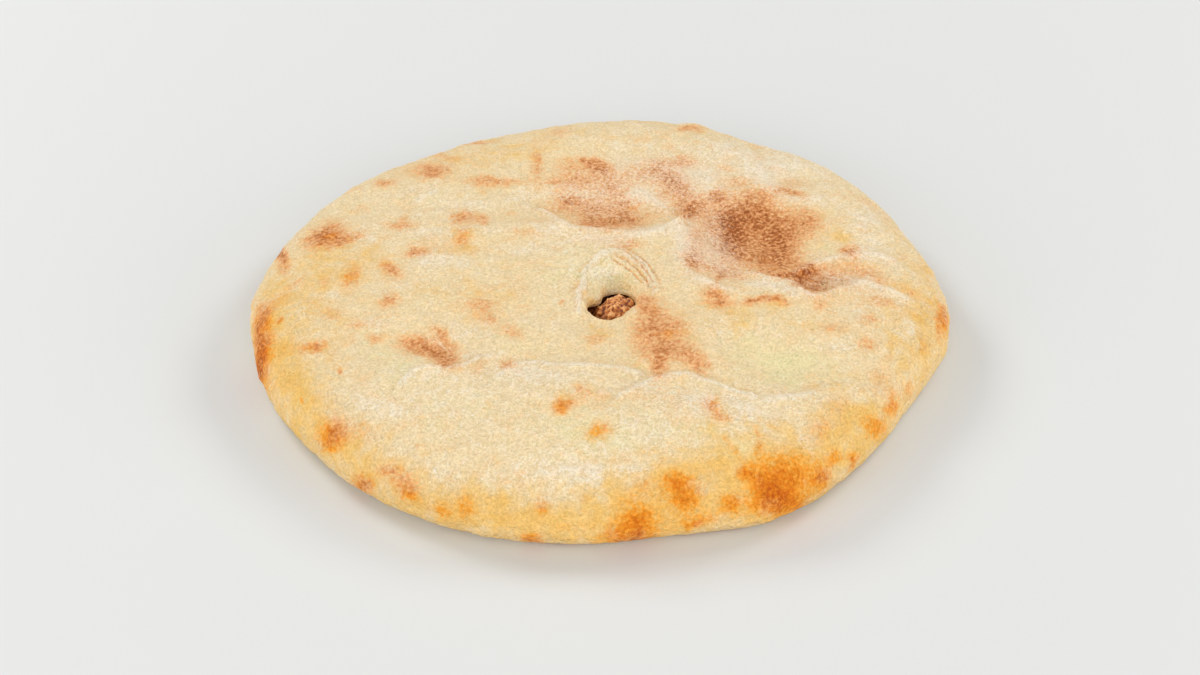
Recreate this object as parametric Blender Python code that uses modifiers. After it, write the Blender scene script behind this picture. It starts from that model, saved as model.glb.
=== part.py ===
"""A round filled flatbread: a baked dough crust shut all round a disc of minced filling,
with a steam vent pushed through the middle of its top, where the filling shows.

Metres, +Z up. The origin is under the middle of the bread, on what it rests on, and the front is -Y.
"""

import math

import bmesh
import bpy
from mathutils import Vector, noise

MM = 0.001

# The whole loaf, over its crust
LOAF_RADIUS = 115.6 * MM
RIM_HEIGHT = 9.0 * MM  # of the widest line above the base
SHOULDER_HEIGHT = 26.0 * MM  # of the top where it starts to roll over the rim
SHOULDER_WIDTH = 36.0 * MM  # how far in from the widest line the roll starts
FOOT_WIDTH = 9.0 * MM  # how far the side tucks in under the widest line
DOME = 2.5 * MM  # extra height at the middle
ROUNDNESS = 2.25  # superellipse power of the rim: 2 is an ellipse, more is squarer

# Its uneven outline: bulges (+) and flats (-), as direction from +X in degrees, millimetres and half-width
# in degrees
LOBES = (
    (0, 3.6, 13),  # blunt corner on the right
    (44, 4.6, 17),  # back right
    (77, 4.8, 18),  # back
    (115, -3.2, 14),  # back left flat
    (181, 2.2, 14),  # left
    (247, 2.0, 22),  # front left
    (281, -2.2, 8),  # notch in the front
    (300, 2.8, 10),  # front right
    (331, -4.2, 16),  # long flat between the front and the right corner
)
RIM_DENT = 0.9 * MM  # depth of the small dents along the side
RIM_DENT_LENGTH = 17.0 * MM

# Dough thickness, and the filling's clearance inside it
BASE_DOUGH = 4.5 * MM
TOP_DOUGH = 4.0 * MM
RIM_DOUGH = 11.0 * MM
CLEARANCE = 0.35 * MM
FILLING_FOLLOWS = 0.6  # share of the top's humps and hollows that the filling under it has

# The vent: a throat, and a lip that flares up from it to the collar, mostly towards the back
THROAT_RADIUS = 8.2 * MM
THROAT_CENTRE = Vector((4.0 * MM, -13.0 * MM))
COLLAR_RADIUS = 13.0 * MM
COLLAR_CENTRE = Vector((5.2 * MM, -9.4 * MM))
VENT_STRETCH = 1.26  # the vent is longer from front to back than from side to side
VENT_DEPTH = 5.6 * MM  # of the throat's upper edge below the collar
VENT_DOUGH = 7.0 * MM  # the top's thickness at the vent, where the dough was gathered
VENT_SURROUND = 34.0 * MM  # distance from the vent's middle at which its dough and shape have faded out
HEAP_HEIGHT = 3.6 * MM  # how far the mince swells into the throat
MINCE_LUMP = 3.2 * MM  # size of a lump of mince
MINCE_RELIEF = 1.3 * MM

STEPS = 80  # facets round the loaf

# Humps (+) and hollows (-) of the top: middle x and y, height, half-length, half-width and turn in
# degrees. Lengths are in millimetres.
SWELLINGS = (
    (5, 45, -4.2, 23, 13, 0),  # scorched hollow behind the vent
    (54, 27, -5.4, 22, 15, -30),  # the big scorched hollow
    (77, 3, -4.8, 13, 7, 20),  # slot hollow beside it
    (58, -50, -2.6, 24, 12, 10),  # shallow hollow at the right front
    (-54, -40, -3.4, 15, 6, -20),  # slot hollow at the left front
    (68, 65, -2.6, 15, 8, -25),  # crease hollow near the back right rim
    (-8, -44, -1.3, 34, 8, 0),  # dip between the vent and the front swell
    (-1, -27, -3.4, 13, 8, 0),  # the vent's lip is pressed down in front
    (13, -22, 1.2, 5, 5, 0),  # less so on its right
    (4, 8, 1.2, 14, 7, 0),  # and raised behind
    (-2, -10, 1.4, 2.6, 4.5, -25),  # small bulge of dough inside it
    (-4, -74, 1.8, 62, 20, 0),  # front swell
    (-60, 6, 1.2, 30, 24, 0),  # left swell
    (-38, 66, 1.3, 26, 18, 35),  # back left swell
    (-2, 92, 2.8, 26, 14, 0),  # back swell
    (92, 34, 1.6, 16, 20, 0),  # right swell
    (86, -30, 1.4, 18, 14, 0),  # right front swell
    (36, 108, 2.8, 7, 7, 0),  # burnt blister on the back rim
    (-48, 98, 1.8, 9, 6, 30),  # bump on the back left rim
    (-106, 36, 2.2, 8, 12, 0),  # bump on the left rim
    (-112, -22, 1.8, 8, 13, 0),  # bump on the left front rim
)

# Folds: long soft ridges of the top. Height, half-width, then the points they run through, in millimetres
FOLDS = (
    (2.3, 5.0, ((-48, 24), (-21, 28), (-3, 28), (14, 25), (28, 29))),  # behind the vent
    (2.7, 5.0, ((28, 29), (31, 10), (34, -7), (48, -12), (66, -13), (81, -9), (90, 0))),  # right of it
    (2.2, 5.0, ((56, -2), (69, 6), (80, 11), (90, 14), (99, 11), (107, 0))),  # over the slot hollow
    (2.2, 5.0, ((42, 88), (53, 75), (58, 60), (67, 54), (80, 58))),  # back right
    (1.2, 5.0, ((28, 29), (22, 38), (12, 52), (4, 60))),  # between the back hollows
    (1.5, 5.5, ((-74, -66), (-67, -58), (-58, -51), (-45, -49), (-30, -43))),  # left front
    (1.5, 5.5, ((16, -50), (34, -46), (50, -62), (66, -72), (84, -62))),  # right front
)
BROAD_WAVE = 0.7 * MM  # the top is never quite level between them
BROAD_WAVE_LENGTH = 26.0 * MM


def smooth_step(start, end, value):
    """0 before start, 1 after end, and a smooth rise between them."""
    share = min(1.0, max(0.0, (value - start) / (end - start)))
    return share * share * (3.0 - 2.0 * share)


def spaced(start, end, count):
    """count evenly spaced values from start up to, but without, end."""
    return [start + (end - start) * i / count for i in range(count)]


# Profiles, as (distance from the axis, height), before the loaf gets its humps and its uneven outline


def top_height(radius):
    """Height of the crust's top at this distance from the axis."""
    start = LOAF_RADIUS - SHOULDER_WIDTH
    dome = DOME * (1.0 - min(1.0, radius / start) ** 2)
    over = min(1.0, max(0.0, radius - start) / SHOULDER_WIDTH)
    roll = (1.0 - over**ROUNDNESS) ** (1.0 / ROUNDNESS)
    return RIM_HEIGHT + (SHOULDER_HEIGHT - RIM_HEIGHT) * roll + dome


def top_dough(radius):
    """Thickness of the crust's top at this distance from the axis."""
    return TOP_DOUGH + (VENT_DOUGH - TOP_DOUGH) * (1.0 - smooth_step(THROAT_RADIUS, VENT_SURROUND, radius))


def corner(middle, width, height, start, end, count):
    """Points of a superellipse corner about middle, from one angle in degrees towards another."""
    points = []
    for angle in spaced(math.radians(start), math.radians(end), count):
        across, up = math.cos(angle), math.sin(angle)
        radius = middle[0] + width * math.copysign(abs(across) ** (2.0 / ROUNDNESS), across)
        height_here = middle[1] + height * math.copysign(abs(up) ** (2.0 / ROUNDNESS), up)
        points.append((radius, height_here))
    return points


def inner_profile(inset):
    """The hollow for the filling, from the middle of its floor out and back in over its roof to the throat."""
    floor = BASE_DOUGH + inset
    outside = LOAF_RADIUS - RIM_DOUGH - inset
    side_width = SHOULDER_WIDTH * 0.6
    roof_starts = outside - side_width
    side_middle = floor + 5.0 * MM
    roof_height = top_height(roof_starts) - TOP_DOUGH - inset
    points = [(radius, floor) for radius in (0.0, roof_starts * 0.6)]
    points += corner((roof_starts, side_middle), side_width, side_middle - floor, -90, 0, 4)
    points += corner((roof_starts, side_middle), side_width, roof_height - side_middle, 0, 90, 5)
    roof_ends = THROAT_RADIUS + 1.0 * MM
    for radius in spaced(roof_starts, roof_ends, 7):
        points.append((radius, top_height(radius) - top_dough(radius) - inset))
    return points


def crust_profile():
    """The crust's whole section, from the middle of the hollow's floor to the middle of the base."""
    points = inner_profile(0.0)
    roof = top_height(THROAT_RADIUS) - VENT_DOUGH
    points += [(THROAT_RADIUS + 1.0 * MM, roof), (THROAT_RADIUS, roof + 0.6 * MM)]
    lip_width = COLLAR_RADIUS - THROAT_RADIUS
    lip_middle = (COLLAR_RADIUS, top_height(COLLAR_RADIUS) - VENT_DEPTH)
    points += corner(lip_middle, lip_width, VENT_DEPTH, 178, 90, 6)
    flat_ends = LOAF_RADIUS - SHOULDER_WIDTH
    for radius in spaced(COLLAR_RADIUS, flat_ends, 15):
        points.append((radius, top_height(radius)))
    points += corner((flat_ends, RIM_HEIGHT), SHOULDER_WIDTH, SHOULDER_HEIGHT - RIM_HEIGHT, 90, 0, 11)
    points += corner((LOAF_RADIUS - FOOT_WIDTH, RIM_HEIGHT), FOOT_WIDTH, RIM_HEIGHT, 0, -90, 5)
    points += [(LOAF_RADIUS - FOOT_WIDTH, 0.0), (LOAF_RADIUS * 0.45, 0.0), (0.0, 0.0)]
    return points


def filling_profile():
    """The filling's section, from the middle of the mince in the vent to the middle of its floor."""
    points = inner_profile(CLEARANCE)
    neck = THROAT_RADIUS - 0.5 * MM
    roof = top_height(THROAT_RADIUS) - VENT_DOUGH - CLEARANCE
    points += [(THROAT_RADIUS + 1.0 * MM, roof)]
    for radius in spaced(neck, 0.0, 6):
        heap = HEAP_HEIGHT * (1.0 - (radius / neck) ** 2)
        points.append((radius, roof + heap))
    points.append((0.0, roof + HEAP_HEIGHT))
    points.reverse()
    return points


# The uneven shape that both pieces share


def outline(angle):
    """The loaf's radius in this direction."""
    radius = LOAF_RADIUS
    for direction, height, half_width in LOBES:
        apart = abs((math.degrees(angle) - direction + 180.0) % 360.0 - 180.0)
        radius += height * MM * math.exp(-((apart / half_width) ** 2))
    return radius


def swelling(x, y, middle_x, middle_y, height, length, width, turn):
    """Height at x, y of one hump or hollow, a turned Gaussian. All in millimetres."""
    turned = math.radians(turn)
    dx, dy = x - middle_x, y - middle_y
    along = (dx * math.cos(turned) + dy * math.sin(turned)) / length
    across = (dy * math.cos(turned) - dx * math.sin(turned)) / width
    return height * math.exp(-(along * along + across * across))


def fold(x, y, height, width, route):
    """Height at x, y of one fold, which falls away on both sides of its route. All in millimetres."""
    nearest = min(
        distance_to_line(Vector((x, y)), Vector(a), Vector(b)) for a, b in zip(route, route[1:])
    )
    return height * math.exp(-((nearest / width) ** 2))


def distance_to_line(point, a, b):
    """How far point is from the stretch between a and b."""
    along = b - a
    share = min(1.0, max(0.0, (point - a).dot(along) / along.length_squared))
    return (point - a - along * share).length


def relief(x, y):
    """How far the top stands above or below its plain dome at x, y."""
    x_mm, y_mm = x / MM, y / MM
    lift = sum(swelling(x_mm, y_mm, *shape) for shape in SWELLINGS)
    lift += sum(fold(x_mm, y_mm, *shape) for shape in FOLDS)
    wave = noise.noise(Vector((x, y, 0.0)) / BROAD_WAVE_LENGTH)
    return lift * MM + wave * BROAD_WAVE


def centre_at(radius):
    """The middle of the ring of this radius: the throat, its collar and the loaf aren't quite concentric."""
    to_collar = min(1.0, max(0.0, (radius - THROAT_RADIUS) / (COLLAR_RADIUS - THROAT_RADIUS)))
    to_loaf = smooth_step(COLLAR_RADIUS, LOAF_RADIUS, radius)
    return THROAT_CENTRE.lerp(COLLAR_CENTRE, to_collar).lerp(Vector((0.0, 0.0)), to_loaf)


def share_of_relief(radius, height):
    """1 on the crust's top, less down to the filling, which follows it in part, and 0 on the base."""
    high = smooth_step(RIM_HEIGHT, SHOULDER_HEIGHT * 0.8, height)
    depth = top_height(radius) - height
    return high * (1.0 - (1.0 - FILLING_FOLLOWS) * smooth_step(0.0, TOP_DOUGH, depth))


def side_dent(angle, height):
    """How far the side stands in or out here, from -1 to 1."""
    around = Vector((math.cos(angle), math.sin(angle), height / LOAF_RADIUS))
    return noise.noise(around * LOAF_RADIUS / RIM_DENT_LENGTH)


def shaped(point):
    """Where a point of the plain turned body goes."""
    radius = math.hypot(point.x, point.y)
    angle = math.atan2(point.y, point.x)
    spread = 1.0 + (outline(angle) / LOAF_RADIUS - 1.0) * smooth_step(0.0, LOAF_RADIUS, radius)
    at_side = smooth_step(LOAF_RADIUS * 0.8, LOAF_RADIUS, radius)
    reach = radius * spread + side_dent(angle, point.z) * RIM_DENT * at_side
    near_vent = 1.0 - smooth_step(THROAT_RADIUS, VENT_SURROUND, radius)
    stretch = 1.0 + (VENT_STRETCH - 1.0) * near_vent
    centre = centre_at(radius)
    x = centre.x + reach * math.cos(angle)
    y = centre.y + reach * math.sin(angle) * stretch
    return Vector((x, y, point.z + relief(x, y) * share_of_relief(radius, point.z)))


# Blender objects


def clear_scene():
    for obj in list(bpy.data.objects):
        bpy.data.objects.remove(obj, do_unlink=True)


def make_collection(name):
    collection = bpy.data.collections.new(name)
    bpy.context.scene.collection.children.link(collection)
    return collection


def make_material(name, colour, roughness):
    material = bpy.data.materials.new(name)
    material.use_nodes = True
    shader = material.node_tree.nodes["Principled BSDF"]
    shader.inputs["Base Color"].default_value = (*colour, 1.0)
    shader.inputs["Roughness"].default_value = roughness
    shader.inputs["Metallic"].default_value = 0.0
    return material


def turned_body(name, profile, collection):
    """The section as a line of edges, turned about Z by a Screw modifier, which is then applied."""
    line = bpy.data.meshes.new(name + "_section")
    line.from_pydata(
        [(radius, 0.0, height) for radius, height in profile],
        [(i, i + 1) for i in range(len(profile) - 1)],
        [],
    )
    obj = bpy.data.objects.new(name, line)
    collection.objects.link(obj)
    screw = obj.modifiers.new("Turn", "SCREW")
    screw.steps = STEPS
    screw.render_steps = STEPS
    screw.use_merge_vertices = True
    screw.merge_threshold = 0.05 * MM
    graph = bpy.context.evaluated_depsgraph_get()
    obj.data = bpy.data.meshes.new_from_object(obj.evaluated_get(graph))
    obj.data.name = name
    obj.modifiers.clear()
    bpy.data.meshes.remove(line)
    return obj


def finish(obj, material, split):
    """Adds the material, and splits each facet in two along the same diagonal on both pieces, so that
    the gap between them stays even."""
    mesh = bmesh.new()
    mesh.from_mesh(obj.data)
    bmesh.ops.triangulate(mesh, faces=mesh.faces, quad_method=split)
    mesh.to_mesh(obj.data)
    mesh.free()
    obj.data.materials.clear()
    obj.data.materials.append(material)
    obj.data.shade_smooth()


def make_crust(collection):
    crust = turned_body("crust", crust_profile(), collection)
    for vertex in crust.data.vertices:
        vertex.co = shaped(vertex.co)
    finish(crust, make_material("baked_dough", (0.80, 0.58, 0.30), 0.75), "FIXED")
    return crust


def make_filling(collection):
    filling = turned_body("filling", filling_profile(), collection)
    for vertex in filling.data.vertices:
        radius = math.hypot(vertex.co.x, vertex.co.y)
        in_vent = 1.0 - smooth_step(THROAT_RADIUS * 0.7, THROAT_RADIUS, radius)
        on_top = smooth_step(BASE_DOUGH * 2.0, SHOULDER_HEIGHT * 0.8, vertex.co.z)
        vertex.co = shaped(vertex.co)
        vertex.co.z += noise.noise(vertex.co / MINCE_LUMP) * MINCE_RELIEF * in_vent * on_top
    finish(filling, make_material("cooked_mince", (0.42, 0.20, 0.10), 0.65), "ALTERNATE")
    return filling


def stand_on_origin(parts):
    """Moves the pieces together so that the middle of the loaf's base is at the origin."""
    crust = parts[0].data.vertices
    for axis in (0, 1):
        values = [vertex.co[axis] for vertex in crust]
        shift = (min(values) + max(values)) / 2.0
        for part in parts:
            for vertex in part.data.vertices:
                vertex.co[axis] -= shift


def main():
    clear_scene()
    collection = make_collection("filled_flatbread")
    crust = make_crust(collection)
    filling = make_filling(collection)
    stand_on_origin([crust, filling])


main()
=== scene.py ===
# %% [markdown]
# # A filled flatbread with a steam vent
#
# A round of dough is closed over a disc of minced meat, flattened, dusted with flour and baked on a hot
# floor. A finger pushed through the middle of its top lets the steam out, and shows the mince.
#
# The frame that is loaded first holds the bread's two solids at their real size: the crust and the filling.
# Everything below is made on them, in metres, with the front of the bread towards -Y.

import math
import random

import bpy
import numpy as np
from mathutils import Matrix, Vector, noise
from mathutils.bvhtree import BVHTree


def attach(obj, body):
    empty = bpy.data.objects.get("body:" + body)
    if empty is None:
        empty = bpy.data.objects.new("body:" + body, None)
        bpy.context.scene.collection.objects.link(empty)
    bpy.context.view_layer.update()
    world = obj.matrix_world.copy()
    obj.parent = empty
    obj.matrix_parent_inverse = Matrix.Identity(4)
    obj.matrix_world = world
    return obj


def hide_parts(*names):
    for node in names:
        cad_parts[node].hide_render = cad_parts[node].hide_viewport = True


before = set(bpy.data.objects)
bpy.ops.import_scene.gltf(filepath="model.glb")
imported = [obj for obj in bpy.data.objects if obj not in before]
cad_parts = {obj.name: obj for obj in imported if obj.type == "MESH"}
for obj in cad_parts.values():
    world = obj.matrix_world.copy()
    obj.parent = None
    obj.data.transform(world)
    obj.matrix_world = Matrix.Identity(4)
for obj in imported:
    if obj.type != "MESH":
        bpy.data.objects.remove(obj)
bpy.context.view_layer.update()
MM = 0.001

# %% [markdown]
# ## The camera
#
# The browned patches and creases below are placed by where they show in the photograph, so the camera comes
# first. It looks down by 34.7 degrees, the angle at which a circle looks 0.57 as high as it is wide, from a
# metre away through a long lens, as food is usually photographed.

# %% Camera
PHOTO_WIDTH = 1200
PHOTO_HEIGHT = 675
ELEVATION = math.radians(34.7)
DISTANCE = 1.0
LENS = 90.0
SENSOR = 36.0
AIM = Vector((0.0, -17.0 * MM, 12.0 * MM))

LOOK = Vector((0.0, math.cos(ELEVATION), -math.sin(ELEVATION)))
RIGHT = Vector((1.0, 0.0, 0.0))
UP = RIGHT.cross(LOOK)
EYE = AIM - LOOK * DISTANCE
FOCAL_PIXELS = PHOTO_WIDTH * LENS / SENSOR

bpy.ops.object.camera_add(location=EYE, rotation=(math.pi / 2 - ELEVATION, 0.0, 0.0))
camera = bpy.context.object
camera.name = "camera"
camera.data.lens = LENS
camera.data.sensor_width = SENSOR
bpy.context.scene.camera = camera
print("One pixel of the photograph is", round(DISTANCE / FOCAL_PIXELS / MM, 3), "mm on the bread")

# %% [markdown]
# ## Working on a copy of a solid
#
# The frame's solids are loose triangles. A copy is merged into one skin, its triangles are paired into
# quads, and Subdivision Surface then rounds the facets off, which it does evenly only on quads.

# %% Helpers for meshes
MERGED = 0.01 * MM  # points nearer than this become one
PAIRED = math.radians(70)  # how far two triangles may bend or skew and still make a quad


def only(obj):
    """Makes obj the one object that is selected and active."""
    bpy.ops.object.select_all(action="DESELECT")
    obj.select_set(True)
    bpy.context.view_layer.objects.active = obj


def merged_copy(node, name):
    """A copy of a node's mesh, as one skin that is mostly quads."""
    piece = bpy.data.objects.new(name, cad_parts[node].data.copy())
    bpy.context.scene.collection.objects.link(piece)
    piece.data.name = name
    piece.data.materials.clear()
    only(piece)
    bpy.ops.object.mode_set(mode="EDIT")
    bpy.ops.mesh.select_all(action="SELECT")
    bpy.ops.mesh.remove_doubles(threshold=MERGED)
    bpy.ops.mesh.tris_convert_to_quads(face_threshold=PAIRED, shape_threshold=PAIRED)
    bpy.ops.object.mode_set(mode="OBJECT")
    return piece


def apply_modifier(piece, kind, **settings):
    only(piece)
    modifier = piece.modifiers.new(kind.title(), kind)
    for key, value in settings.items():
        setattr(modifier, key, value)
    bpy.ops.object.modifier_apply(modifier=modifier.name)


def select_faces(piece, wanted):
    """Selects the faces for which wanted(face) is true, ready for an operator in edit mode."""
    only(piece)
    mesh = piece.data
    mesh.vertices.foreach_set("select", [False] * len(mesh.vertices))
    mesh.edges.foreach_set("select", [False] * len(mesh.edges))
    mesh.polygons.foreach_set("select", [wanted(face) for face in mesh.polygons])
    bpy.ops.object.mode_set(mode="EDIT")
    bpy.ops.mesh.select_mode(type="FACE")


def points_of(piece):
    values = np.empty(len(piece.data.vertices) * 3)
    piece.data.vertices.foreach_get("co", values)
    return values.reshape(-1, 3)


def normals_of(piece):
    values = np.empty(len(piece.data.vertices) * 3)
    piece.data.vertex_normals.foreach_get("vector", values)
    return values.reshape(-1, 3)


def move_points(piece, points):
    piece.data.vertices.foreach_set("co", points.ravel())
    piece.data.update()


def mark(piece, name, values):
    """Keeps a value for each point, which a material can read."""
    piece.data.attributes.new(name, "FLOAT", "POINT").data.foreach_set("value", values.astype(np.float32))


def deepness(piece, rounds):
    """How far the smoothed skin lies outside each point: positive in gaps and negative on crests."""
    mesh = piece.data
    ends = np.empty(len(mesh.edges) * 2, dtype=np.int64)
    mesh.edges.foreach_get("vertices", ends)
    a, b = ends.reshape(-1, 2).T
    count = np.bincount(ends, minlength=len(mesh.vertices))[:, None]
    start = points_of(piece)
    smoothed = start.copy()
    for _ in range(rounds):
        total = np.zeros_like(smoothed)
        np.add.at(total, a, smoothed[b])
        np.add.at(total, b, smoothed[a])
        smoothed = total / count
    return ((smoothed - start) * normals_of(piece)).sum(axis=1)


def rise(start, end, values):
    """0 before start, 1 after end, and a smooth rise between them."""
    share = np.clip((values - start) / (end - start), 0.0, 1.0)
    return share * share * (3.0 - 2.0 * share)


def noise_at(points, size, seed=0.0, octaves=3):
    """Soft noise, about -1 to 1, whose lumps are size across."""
    shift = Vector((seed, seed * 0.7, seed * 1.3))
    return np.array([noise.fractal(Vector(p) / size + shift, 0.6, 2.1, octaves) for p in points])


def surface_of(piece):
    return BVHTree.FromPolygons(
        [v.co for v in piece.data.vertices], [p.vertices for p in piece.data.polygons]
    )


# %% [markdown]
# ## The crust's skin
#
# The hollow that the filling lies in is never seen, so its faces are thinned out first and the fine mesh
# goes where it shows. The rim's facets are wide, so they are halved round the loaf before two levels of
# subdivision bring the skin to facets of about a millimetre.

# %% Crust
crust = merged_copy("crust", "crust_baked")
filling_surface = surface_of(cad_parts["filling"])
THROAT = Vector((4.0 * MM, -13.0 * MM))  # the vent's middle, from above
THROAT_REACH = 13.0 * MM  # the inside of the dough shows no further than this from it
FILLING_NEAR = 4.0 * MM  # a face of the hollow has the filling this near in front of it
HOLLOW_KEPT = 0.12  # of the hollow's faces


def faces_the_filling(face):
    if (face.center.xy - THROAT).length < THROAT_REACH:
        return False
    return filling_surface.ray_cast(face.center, face.normal, FILLING_NEAR)[0] is not None


select_faces(crust, faces_the_filling)
bpy.ops.mesh.decimate(ratio=HOLLOW_KEPT)
bpy.ops.object.mode_set(mode="OBJECT")
print("With the hollow thinned out the crust has", len(crust.data.polygons), "faces")

# %% Finer facets round the rim
RIM_STARTS = 55.0 * MM
RUNS_ROUND = 0.9  # how much of an edge's length goes round the loaf


def select_rings(piece, start):
    """Selects the edges that run round the loaf on its outer skin, past start from the middle."""
    only(piece)
    mesh = piece.data
    outside = set()
    for face in mesh.polygons:
        if len(face.vertices) == 4 and not faces_the_filling(face):
            outside.update(face.edge_keys)
    chosen = []
    for edge in mesh.edges:
        a, b = (mesh.vertices[i].co for i in edge.vertices)
        middle = (a + b) / 2.0
        round_way = Vector((-middle.y, middle.x, 0.0)).normalized()
        along = abs((b - a).normalized().dot(round_way))
        chosen.append(middle.xy.length > start and along > RUNS_ROUND and edge.key in outside)
    mesh.vertices.foreach_set("select", [False] * len(mesh.vertices))
    mesh.polygons.foreach_set("select", [False] * len(mesh.polygons))
    mesh.edges.foreach_set("select", chosen)
    bpy.ops.object.mode_set(mode="EDIT")
    bpy.ops.mesh.select_mode(type="EDGE")


select_rings(crust, RIM_STARTS)
bpy.ops.mesh.subdivide(number_cuts=1)
bpy.ops.object.mode_set(mode="OBJECT")
apply_modifier(crust, "SUBSURF", levels=2, render_levels=2)
crust_surface = surface_of(crust)
print("The crust's skin has", len(crust.data.polygons), "faces")

# %% [markdown]
# ## Placing things by the photograph
#
# A patch is named by the pixel where its middle shows. A ray from the camera through that pixel finds the
# crust there, and the patch then has a real place on the skin, which holds from every side.

# %% From a pixel to the crust
MIDDLE = (600, 335)  # the pixel that the bread's middle shows at
FAR = 1e9  # for a point that a line doesn't reach
SEARCH_STEPS = 30  # each a hundredth of the way to the middle
ROUTE_REACH = 14.0 * MM  # how far past a route's ends its distance is still measured
SPOT_ENDS = 1.3  # a spot is cut off at this many times its larger size


def seen_at(x, y):
    """Where the crust is, at this pixel of the photograph, or at the first one further in that shows it."""
    for step in range(SEARCH_STEPS):
        across = x + (MIDDLE[0] - x) * step / 100 - PHOTO_WIDTH / 2
        down = y + (MIDDLE[1] - y) * step / 100 - PHOTO_HEIGHT / 2
        ray = LOOK * FOCAL_PIXELS + RIGHT * across - UP * down
        place = crust_surface.ray_cast(EYE, ray.normalized())[0]
        if place is not None:
            return place
    raise ValueError(f"No crust near pixel {x}, {y}")


def photo_offsets(points, place):
    """How far points lie from place, in the photograph's pixels to the right and up."""
    away = points - np.array(place)
    scale = FOCAL_PIXELS / (place - EYE).dot(LOOK)
    return away @ np.array(RIGHT) * scale, away @ np.array(UP) * scale


def within(points, place, reach):
    return np.linalg.norm(points - np.array(place), axis=1) < reach


def beside(points, route):
    """How far points lie from a line through these pixels, and their side of it.

    A line that runs from left to right has 1 behind it and -1 in front of it.
    """
    nearest = np.full(len(points), FAR)
    side = np.zeros(len(points))
    for start, end in zip(route, route[1:]):
        a, b = seen_at(*start), seen_at(*end)
        across, up = photo_offsets(points, a)
        ends = photo_offsets(np.array([b]), a)
        run, climb = ends[0][0], ends[1][0]
        share = np.clip((across * run + up * climb) / (run * run + climb * climb), 0.0, 1.0)
        gap = np.hypot(across - share * run, up - share * climb)
        gap[~within(points, (a + b) / 2.0, (b - a).length * 0.5 + ROUTE_REACH)] = FAR
        closer = gap < nearest
        side[closer] = np.sign(up * run - across * climb)[closer]
        nearest[closer] = gap[closer]
    return nearest, side


def spot(points, place, width, height, turn=0):
    """1 at a place, falling softly to 0.37 at the edge of a turned oval, whose size is in pixels."""
    across, up = photo_offsets(points, place)
    turned = math.radians(turn)
    along = (across * math.cos(turned) + up * math.sin(turned)) / (width / 2)
    over = (up * math.cos(turned) - across * math.sin(turned)) / (height / 2)
    soft = np.exp(-(along * along + over * over))
    reach = max(width, height) * SPOT_ENDS * DISTANCE / FOCAL_PIXELS / math.sin(ELEVATION)
    soft[~within(points, place, reach)] = 0.0
    return soft


print("The vent's near lip is at", [round(v / MM, 1) for v in seen_at(603, 323)], "mm")

# %% Finer facets where the dough was twisted
# The finger's thin creases lie round the vent, mostly behind it, where the rings of facets are already wide
TWISTED = seen_at(631, 270)
TWIST_REACH = 10.2 * MM
TWIST_DEPTH = 8.0 * MM  # keeps the patch off the hollow under the top crust
LOOKS_UP = 0.3  # a face whose normal rises at least this much is on top


def twisted_skin(face):
    near = (face.center - TWISTED).length < TWIST_REACH
    return near and face.normal.z > LOOKS_UP and face.center.z > TWISTED.z - TWIST_DEPTH


select_faces(crust, twisted_skin)
bpy.ops.mesh.subdivide(number_cuts=2)
bpy.ops.object.mode_set(mode="OBJECT")
print("With the finer patch the skin has", len(crust.data.polygons), "faces")

# %% [markdown]
# ## Folds, creases and crumb
#
# The solid has the big folds. The real skin also has thin wrinkles where the dough was drawn together, fine
# rings round the vent from the finger's twist, and a slightly bumpy surface from flour and small bubbles.
# They are moved into the mesh along its normals, so that they hold in any light.

# %% Folds
# Height of the crest and depth of the skin behind it in millimetres, how far back that goes in pixels, and
# the pixels that the fold runs through, from left to right
FOLDS = (
    (0.95, 1.8, 24, (
        (541, 210), (552, 216), (563, 222), (575, 228), (607, 230), (632, 234), (658, 231), (682, 219),
    )),
    (0.6, 0.7, 24, ((682, 262), (690, 271), (700, 277), (712, 283), (726, 289), (738, 290))),
    (0.9, 1.8, 18, (
        (742, 272), (757, 273), (770, 278), (795, 284), (803, 290), (813, 296), (826, 294), (842, 287),
    )),
    (0.9, 0.6, 20, ((795, 271), (816, 263), (834, 259), (859, 254), (880, 255), (894, 262))),
    (0.7, 0.8, 14, ((845, 277), (860, 281), (875, 285), (890, 290), (905, 297), (916, 304))),
    (0.4, 0.4, 16, ((755, 157), (765, 175), (773, 187), (790, 197), (806, 199), (824, 197))),
    (0.6, 0.5, 14, ((628, 196), (640, 192), (655, 200), (668, 210), (680, 219))),
    (1.0, 1.3, 14, ((400, 384), (412, 372), (428, 367), (446, 369), (462, 366), (478, 358))),
    (0.5, 0.6, 10, ((424, 336), (436, 343), (450, 353))),
    (0.8, 0.9, 16, ((498, 376), (515, 364), (530, 362), (560, 366), (600, 366), (640, 372))),
    (0.9, 1.1, 14, ((618, 396), (634, 388), (655, 377), (686, 374), (708, 381), (730, 389), (752, 395))),
    (0.5, 0.8, 18, ((752, 395), (770, 398), (790, 397), (808, 393), (826, 386))),
    (0.3, 0.4, 8, ((300, 358), (314, 355), (330, 350))),
    (0.3, 0.5, 10, ((560, 470), (600, 466), (640, 470))),
    # A furrow in the scorched hollow, and the raw ring that the finger drew up round the vent
    (-0.7, 0.0, 10, ((711, 240), (740, 252), (772, 260))),
    (0.95, 0.0, 10, (
        (579, 312), (577, 295), (582, 275), (592, 262), (603, 254), (620, 250), (645, 265), (655, 290),
    )),
)
CREST_WIDTH = 3.6  # in pixels, as are the next two
DUST_WIDTH = 6.0  # of the flour that stays on a crest
FALL_WIDTH = 6.0  # over which the skin behind a crest sinks

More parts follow.
